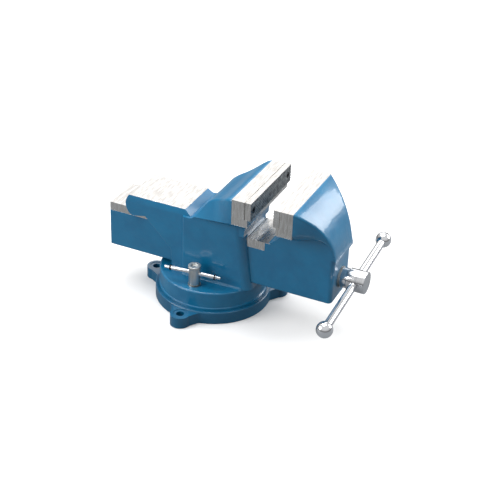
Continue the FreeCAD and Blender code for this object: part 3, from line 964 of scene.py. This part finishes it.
# ---------------------------------------------------------------- screw and handle
@dataclass
class Spindle:
    """The lead screw: a square-shouldered thread, the journal, the shank and the head.

    Args:
        pitch: Advance of the thread in one turn.
        crest_radius: Outer radius of the thread.
        root_radius: Radius at the bottom of the thread.
        journal_radius: Radius in the nose of the moving jaw.
        shank_radius: Radius between the washer and the head.
        head_radius: Radius of the head.
        head_length: Length of the head.
        hole_radius: Radius of the handle's hole.
        hole_share: Where the hole is, as a share of the head's length back from its end.
        handle_tilt: Angle of the handle above level, in degrees.
        flank_run: Length along the screw of each slanting side of the thread.
        end_overlap: How far the thread runs into the journal.
        round_steps: Steps in one turn of the thread.
        edge: Width of the rounding on the plain front.
    """

    pitch: float = 5.0 * MM
    crest_radius: float = 12.0 * MM
    root_radius: float = 9.6 * MM
    journal_radius: float = 13.0 * MM
    shank_radius: float = 16.2 * MM
    head_radius: float = 17.8 * MM
    head_length: float = 29.0 * MM
    hole_radius: float = 6.6 * MM
    hole_share: float = 0.58
    handle_tilt: float = 5.4
    flank_run: float = 0.7 * MM
    end_overlap: float = 0.5 * MM
    round_steps: int = 32
    edge: float = 1.4 * MM

    @property
    def axis_point(self) -> Vector:
        """A point on the screw's axis, level with the swivel axis."""
        low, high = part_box("thrust_washer")
        return Vector((0.0, 0.0, (low.z + high.z) / 2))

    @property
    def handle_point(self) -> Vector:
        """Where the handle crosses the screw's axis."""
        low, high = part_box("lead_screw")
        return self.axis_point + ALONG_SLIDE * (high.x - self.hole_share * self.head_length)

    @property
    def handle_direction(self) -> Vector:
        """Direction of the handle, from its near end to its far end."""
        tilt = math.radians(self.handle_tilt)
        return Vector((0.0, math.cos(tilt), math.sin(tilt)))

    def build(self, finishes: Finishes) -> bpy.types.Object:
        """Builds, dresses and fits the screw.

        Args:
            finishes: The vise's finishes.

        Returns:
            The screw.
        """
        thread = self._thread()
        paint(thread, finishes.oiled_thread)
        front = self._front()
        paint(front, finishes.turned_chrome)
        thread.select_set(True)
        front.select_set(True)
        bpy.context.view_layer.objects.active = front
        bpy.ops.object.join()
        front.name = "lead_screw_threaded"
        smooth(front, 30.0, weighted=False)
        fit(front, "spindle", ["lead_screw"])
        return front

    def _thread(self) -> bpy.types.Object:
        """Winds one thread tooth round the axis, then trims both ends flat.

        Returns:
            The threaded length, on the screw's axis.
        """
        low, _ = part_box("lead_screw")
        collar_low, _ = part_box("spindle_collar")
        flat = self.pitch / 2 - self.flank_run
        height = self.crest_radius - self.root_radius
        path = ((flat, 0.0), (self.flank_run, height), (flat, 0.0), (self.flank_run, -height))
        start = Vector((low.x - self.pitch, 0.0, self.root_radius))
        bpy.ops.object.select_all(action="DESELECT")
        bpy.ops.mesh.primitive_plane_add(size=MM)
        piece = bpy.context.object
        with editing(piece):
            bpy.ops.mesh.select_all(action="SELECT")
            bpy.ops.mesh.merge(type="CENTER")
            bpy.ops.transform.translate(value=start)
            for along, up in path:
                bpy.ops.mesh.extrude_region_move(TRANSFORM_OT_translate={"value": (along, 0.0, up)})
        turns = math.ceil((collar_low.x - start.x) / self.pitch) + 1
        finish_with(piece, "SCREW", axis="X", angle=2.0 * math.pi, screw_offset=self.pitch, iterations=turns,
                    steps=self.round_steps, render_steps=self.round_steps, use_merge_vertices=True,
                    merge_threshold=1e-6)
        with editing(piece):
            bpy.ops.mesh.select_all(action="SELECT")
            bpy.ops.mesh.remove_doubles(threshold=1e-6)
            for place, way in ((low.x, -1.0), (collar_low.x + self.end_overlap, 1.0)):
                bpy.ops.mesh.select_all(action="SELECT")
                bpy.ops.mesh.bisect(plane_co=(place, 0.0, 0.0), plane_no=(way, 0.0, 0.0), clear_outer=True,
                                    use_fill=True)
        face_out(piece)
        piece.location = self.axis_point
        settle(piece)
        return piece

    def _front(self) -> bpy.types.Object:
        """Turns the journal, shank and head, and drills the handle's hole.

        Returns:
            The plain front of the screw, on its axis.
        """
        collar_low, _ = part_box("spindle_collar")
        _, washer_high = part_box("thrust_washer")
        _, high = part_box("lead_screw")
        head_rear = high.x - self.head_length
        stations = [Station(collar_low.x, self.journal_radius), Station(washer_high.x, self.journal_radius),
                    Station(washer_high.x, self.shank_radius), Station(head_rear, self.shank_radius),
                    Station(head_rear, self.head_radius), Station(high.x, self.head_radius)]
        piece = turned("spindle_front", stations, 72)
        set_on_axis(piece, self.axis_point, ALONG_SLIDE)
        soften_edges(piece, self.edge, 3)
        reach = 2.0 * self.head_radius
        cut_away(piece, drill(self.handle_point, self.handle_direction, self.hole_radius, reach))
        return piece


@dataclass
class Handle:
    """The sliding handle: a plain rod with a ball at each end.

    Args:
        spindle: The screw it passes through.
        rod_radius: Radius of the rod.
        ball_radius: Radius of each ball.
        ball_flat: Distance from a ball's centre to the flat that meets the rod.
        near_reach: From the screw's axis to the near ball's centre.
        far_reach: From the screw's axis to the far ball's centre.
        rod_in_ball: How far the rod goes into each ball.
        ball_rings: Rings over each ball.
        rod_edge: Width of the rounding on the rod's ends.
    """

    spindle: Spindle
    rod_radius: float = 6.5 * MM
    ball_radius: float = 12.8 * MM
    ball_flat: float = 11.0 * MM
    near_reach: float = 129.6 * MM
    far_reach: float = 118.4 * MM
    rod_in_ball: float = 9.0 * MM
    ball_rings: int = 26
    rod_edge: float = 0.6 * MM

    def build(self, finishes: Finishes) -> None:
        """Builds, dresses and fits the rod and both balls.

        Args:
            finishes: The vise's finishes.
        """
        origin = self.spindle.handle_point
        direction = self.spindle.handle_direction
        past_centre = self.rod_in_ball - self.ball_flat
        ends = (-self.near_reach - past_centre, self.far_reach + past_centre)
        stations = [Station(end, self.rod_radius) for end in ends]
        bar = turned("handle_rod", stations, 56)
        set_on_axis(bar, origin, direction)
        soften_edges(bar, self.rod_edge)
        smooth(bar, 40.0)
        paint(bar, finishes.chrome)
        fit(bar, "handle", ["handle_bar"])
        for name, node, reach, way in (("handle_ball_near", "handle_knob_near", self.near_reach, -1.0),
                                       ("handle_ball_far", "handle_knob_far", self.far_reach, 1.0)):
            ball = self._ball(name)
            set_on_axis(ball, origin + direction * (way * reach), direction * way)
            smooth(ball, 40.0, weighted=False)
            paint(ball, finishes.chrome)
            fit(ball, "handle", [node])

    def _ball(self, name: str) -> bpy.types.Object:
        """Turns a ball with a flat below it, bored for the rod's end.

        Args:
            name: Name of the ball.

        Returns:
            The ball, standing on the Z axis.
        """
        start = math.acos(self.ball_flat / self.ball_radius)
        end = math.radians(178.5)
        rings = [start + (end - start) * k / self.ball_rings for k in range(self.ball_rings + 1)]
        stations = [Station(-self.ball_radius * math.cos(a), self.ball_radius * math.sin(a)) for a in rings]
        bore_top = -self.ball_flat + self.rod_in_ball
        bore = [Station(bore_top, self.rod_radius), Station(-self.ball_flat, self.rod_radius)]
        return turned(name, bore + stations, 64)


# ---------------------------------------------------------------- swivel clamps
class Side(Enum):
    """A side of the vise, as the CAD nodes' names give it."""

    LEFT = "left"
    RIGHT = "right"


@dataclass
class SwivelClamp:
    """One lock nut with its tommy bar.

    Args:
        side: Which of the two clamps it is.
        nut_radius: Radius of the nut.
        cap_radius: Radius of the nut's cap.
        cap_height: Height of the cap.
        recess_radius: Radius of the hollow in the cap.
        recess_depth: Depth of the hollow.
        bar_radius: Radius of the tommy bar.
        nub_radius: Radius of the bar's thinner ends.
        nub_length: Length of each thinner end.
        bar_length: Length of the bar.
        bar_turn: Angle of the bar to the slide, in degrees.
        bar_clearance: Room round the bar in the nut.
        cap_slope: Height over which the nut widens into its cap.
        edge: Width of the rounding on both pieces.
    """

    side: Side
    nut_radius: float = 9.2 * MM
    cap_radius: float = 10.2 * MM
    cap_height: float = 4.5 * MM
    recess_radius: float = 5.0 * MM
    recess_depth: float = 2.5 * MM
    bar_radius: float = 3.5 * MM
    nub_radius: float = 2.6 * MM
    nub_length: float = 7.5 * MM
    bar_length: float = 94.0 * MM
    bar_turn: float = 5.0
    bar_clearance: float = 0.05 * MM
    cap_slope: float = 0.6 * MM
    edge: float = 0.8 * MM

    @property
    def bar_direction(self) -> Vector:
        """Direction of the bar, towards the handle's end of the vise.

        Returns:
            A level vector of length one.
        """
        sign = 1.0 if self.side is Side.LEFT else -1.0
        turn = math.radians(self.bar_turn) * sign
        return Vector((math.cos(turn), math.sin(turn), 0.0))

    def build(self, finishes: Finishes) -> None:
        """Builds, dresses and fits the nut and the bar.

        Args:
            finishes: The vise's finishes.
        """
        low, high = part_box("lock_bar_" + self.side.value)
        bar_middle = (low + high) / 2
        self._nut(finishes, bar_middle)
        self._bar(finishes, bar_middle)

    def _nut(self, finishes: Finishes, bar_middle: Vector) -> None:
        """Turns the nut, hollows its cap and drills it for the bar.

        Args:
            finishes: The vise's finishes.
            bar_middle: Middle of the bar that passes through it.
        """
        node = "lock_nut_" + self.side.value
        low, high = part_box(node)
        cap = high.z - self.cap_height
        recess_floor = high.z - self.recess_depth
        stations = [Station(low.z, self.nut_radius), Station(cap, self.nut_radius),
                    Station(cap + self.cap_slope, self.cap_radius), Station(high.z, self.cap_radius),
                    Station(high.z, self.recess_radius), Station(recess_floor, self.recess_radius)]
        piece = turned(node + "_turned", stations, 56)
        middle = (low + high) / 2
        set_on_axis(piece, Vector((middle.x, middle.y, 0.0)), UPWARD)
        soften_edges(piece, self.edge, 3)
        hole_radius = self.bar_radius + self.bar_clearance
        cut_away(piece, drill(bar_middle, self.bar_direction, hole_radius, 2.5 * self.nut_radius))
        smooth(piece, 34.0, weighted=False)
        paint(piece, finishes.dull_zinc)
        fit(piece, self.side.value + "_lock", [node])

    def _bar(self, finishes: Finishes, middle: Vector) -> None:
        """Turns the bar with a thinner, rounded nub at each end.

        Args:
            finishes: The vise's finishes.
            middle: Middle of the bar.
        """
        half = self.bar_length / 2
        body = half - self.nub_length
        stations = [Station(-half, self.nub_radius), Station(-body, self.nub_radius),
                    Station(-body, self.bar_radius), Station(body, self.bar_radius),
                    Station(body, self.nub_radius), Station(half, self.nub_radius)]
        piece = turned("lock_bar_turned_" + self.side.value, stations, 40)
        set_on_axis(piece, middle, self.bar_direction)
        soften_edges(piece, self.edge, 3)
        smooth(piece, 34.0, weighted=False)
        paint(piece, finishes.chrome)
        fit(piece, self.side.value + "_lock_bar", ["lock_bar_" + self.side.value])


@dataclass
class SmallHardware:
    """Pieces that keep their CAD shape and only take a finish.

    Args:
        plated: Nodes in plated steel.
        blackened: Nodes in blackened steel.
        cast: Nodes in bronze.
    """

    plated: tuple[str, ...] = ("lock_washer_left", "lock_washer_right", "thrust_washer", "spindle_collar",
                               "spindle_pin")
    blackened: tuple[str, ...] = ("fixed_jaw_screws", "moving_jaw_screws", "main_nut_bolt",
                                  "clamp_bolt_left", "clamp_bolt_right", "lock_bar_rings_left",
                                  "lock_bar_rings_right")
    cast: tuple[str, ...] = ("main_nut",)

    def dress(self, finishes: Finishes) -> None:
        """Gives each node its finish.

        Args:
            finishes: The vise's finishes.
        """
        groups = ((self.plated, finishes.plated_steel), (self.blackened, finishes.blackened),
                  (self.cast, finishes.bronze))
        for nodes, material in groups:
            for node in nodes:
                paint(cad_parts[node], material)
                LOG.info("%s: dressed in %s", node, material.name)


# ---------------------------------------------------------------- studio
@dataclass
class Softbox:
    """One rectangular light.

    Args:
        place: Where it hangs.
        size: Its width and height.
        power: Its power in watts.
    """

    place: Vector
    size: tuple[float, float]
    power: float

    def hang(self, target: Vector) -> None:
        """Hangs the light facing a target.

        Args:
            target: The point that it faces.
        """
        bpy.ops.object.light_add(type="AREA", location=self.place)
        lamp = bpy.context.object
        lamp.data.shape = "RECTANGLE"
        lamp.data.size, lamp.data.size_y = self.size
        lamp.data.energy = self.power
        lamp.rotation_euler = (target - self.place).to_track_quat("-Z", "Y").to_euler()


@dataclass
class Studio:
    """Pale floor, soft lights, the surroundings that the metal mirrors, and the camera.

    Args:
        floor_size: Side of the floor.
        target: What the camera looks at.
        azimuth: The camera's turn round the vise, in degrees.
        elevation: Its height above level, in degrees.
        roll: Its turn about its own line of sight, in degrees.
        distance: From the target to the camera.
        lens: Focal length in millimetres.
        sensor: Width of the sensor in millimetres.
    """

    floor_size: float = 14.0
    target: Vector = field(default_factory=lambda: Vector((0.0641, -0.0029, 0.0993)))
    azimuth: float = 23.86
    elevation: float = 31.02
    roll: float = 2.31
    distance: float = 1.9418
    lens: float = 88.6
    sensor: float = 36.0

    def build(self) -> None:
        """Sets up the whole studio."""
        self._floor()
        self._surroundings()
        for light in (Softbox(Vector((-0.2, 0.3, 2.1)), (1.5, 1.5), 40.0),
                      Softbox(Vector((-1.5, -1.4, 1.2)), (1.4, 1.2), 34.0),
                      Softbox(Vector((-0.8, 1.9, 1.4)), (2.0, 1.2), 9.0),
                      Softbox(Vector((1.5, 1.45, 0.95)), (1.3, 1.0), 30.0)):
            light.hang(self.target)
        self._camera()
        scene = bpy.context.scene
        scene.view_settings.view_transform = "Standard"
        scene.view_settings.look = "None"

    def _floor(self) -> None:
        """Lays the floor just under the base."""
        bpy.ops.mesh.primitive_plane_add(size=self.floor_size, location=(0.0, 0.0, -FLOOR_DROP))
        floor = bpy.context.object
        floor.name = "floor"
        material, bench, shader, place = new_material("pale_floor")
        speckle = bench.noise(place, 14.0, 3.0)
        tint = bench.blend(speckle, colour(0.84, 0.84, 0.84), colour(0.88, 0.88, 0.88))
        seen = bench.add("LightPath").outputs["Is Camera Ray"]
        shown = bench.blend(seen, colour(0.20, 0.21, 0.22), tint)
        bench.tree.links.new(shown, shader.inputs["Base Color"])
        shader.inputs["Roughness"].default_value = 0.7
        shader.inputs["Specular IOR Level"].default_value = 0.2
        paint(floor, material)

    def _surroundings(self) -> None:
        """Bright overhead, darker towards the level, and plain pale where it is looked at directly."""
        world = bpy.data.worlds.new("studio")
        bpy.context.scene.world = world
        world.use_nodes = True
        bench = NodeBench(world.node_tree)
        backdrop = world.node_tree.nodes["Background"]
        direction = bench.add("TexCoord").outputs["Generated"]
        height = bench.add("SeparateXYZ", {0: direction}).outputs["Z"]
        ramp = bench.add("ValToRGB", {"Fac": height})
        stops = ramp.color_ramp.elements
        stops[0].position, stops[0].color = 0.02, colour(0.30, 0.30, 0.31)
        stops[1].position, stops[1].color = 0.62, colour(1.0, 1.0, 1.0)
        for position, grey in ((0.10, 0.22), (0.26, 0.60), (0.40, 0.85)):
            stop = stops.new(position)
            stop.color = colour(grey, grey, grey)
        seen = bench.add("LightPath").outputs["Is Camera Ray"]
        shown = bench.blend(seen, ramp.outputs["Color"], colour(0.93, 0.93, 0.93))
        world.node_tree.links.new(shown, backdrop.inputs["Color"])
        backdrop.inputs["Strength"].default_value = 0.75

    def _camera(self) -> None:
        """Stands the camera where the azimuth, elevation, roll and distance put it."""
        turn, rise, roll = (math.radians(a) for a in (self.azimuth, self.elevation, self.roll))
        back = Vector((math.sin(turn) * math.cos(rise), -math.cos(turn) * math.cos(rise), math.sin(rise)))
        level = Vector((math.cos(turn), math.sin(turn), 0.0))
        above = back.cross(level)
        right = level * math.cos(roll) + above * math.sin(roll)
        up = above * math.cos(roll) - level * math.sin(roll)
        bpy.ops.object.camera_add(location=self.target + back * self.distance)
        camera = bpy.context.object
        camera.rotation_euler = Matrix((right, up, back)).transposed().to_euler()
        camera.data.lens = self.lens
        camera.data.sensor_width = self.sensor
        bpy.context.scene.camera = camera


def main() -> None:
    """Builds the vise, sub-assembly by sub-assembly, and the studio round it."""
    logging.basicConfig(level=logging.INFO, format="%(name)s %(message)s")
    finishes = Finishes()
    Castings().build()
    JawPlate("fixed_jaw_plate", "vise_body", 1.0, "fixed_jaw_screws").build(finishes)
    JawPlate("moving_jaw_plate", "moving_jaw", -1.0, "moving_jaw_screws").build(finishes)
    spindle = Spindle()
    spindle.build(finishes)
    Handle(spindle).build(finishes)
    for side in Side:
        SwivelClamp(side).build(finishes)
    SmallHardware().dress(finishes)
    Studio().build()


if __name__ == "__main__":
    main()
